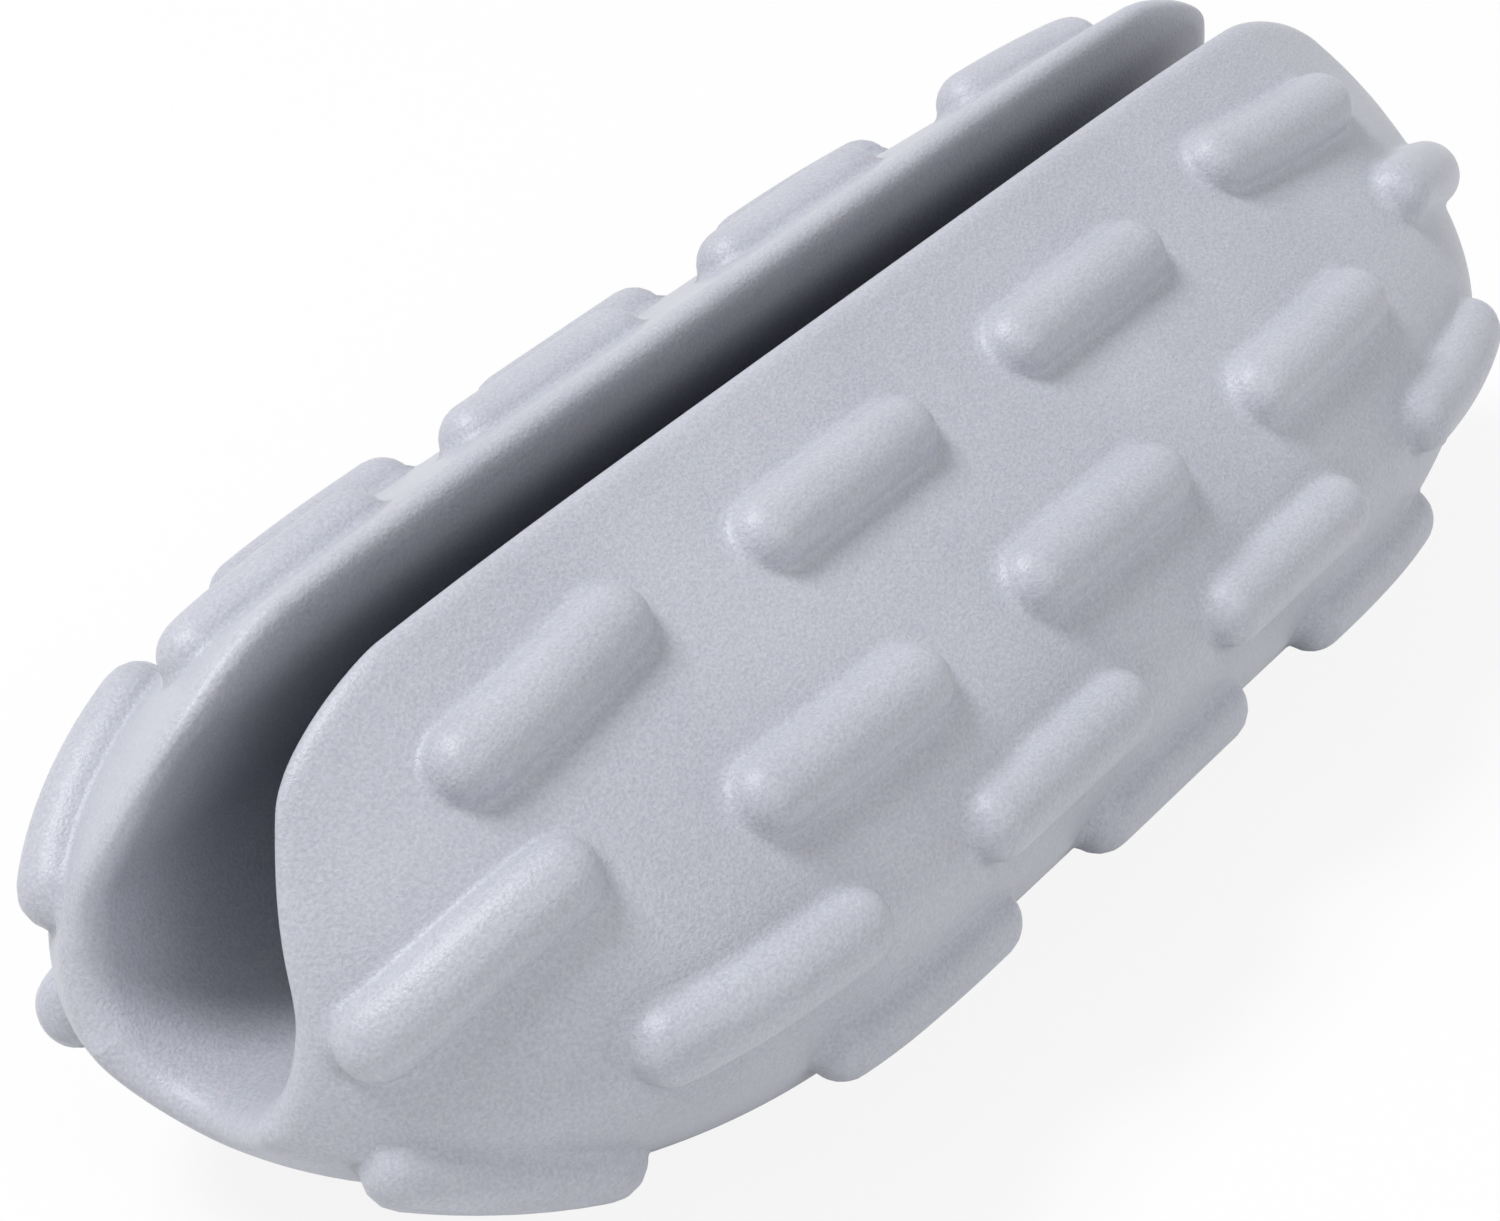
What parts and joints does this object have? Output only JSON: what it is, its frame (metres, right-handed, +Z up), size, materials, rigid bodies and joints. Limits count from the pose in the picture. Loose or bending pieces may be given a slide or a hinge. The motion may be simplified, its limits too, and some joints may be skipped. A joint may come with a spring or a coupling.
{
  "type": "pencil weight",
  "caption": "Ribbed silicone sleeve with a snap-in slit along its top, a lined pencil channel and steel rods sealed inside to make a pencil heavier.",
  "frame": {"origin": "middle of the flat strip under the belly, at the bottom of the bounding box", "axes": "+X along the pencil channel, +Y across it, +Z up out of the slit"},
  "size_m": [0.057, 0.027, 0.0188],
  "materials": {
    "sleeve_silicone": "satin blue-grey silicone",
    "core_silicone": "satin blue-grey silicone",
    "rod_steel": "turned"
  },
  "bodies": {
    "root": {"outer_sleeve": "sleeve_silicone", "inner_core": "core_silicone", "weight_rod_left": "rod_steel", "weight_rod_right": "rod_steel", "weight_rod_keel": "rod_steel"}
  },
  "joints": []
}
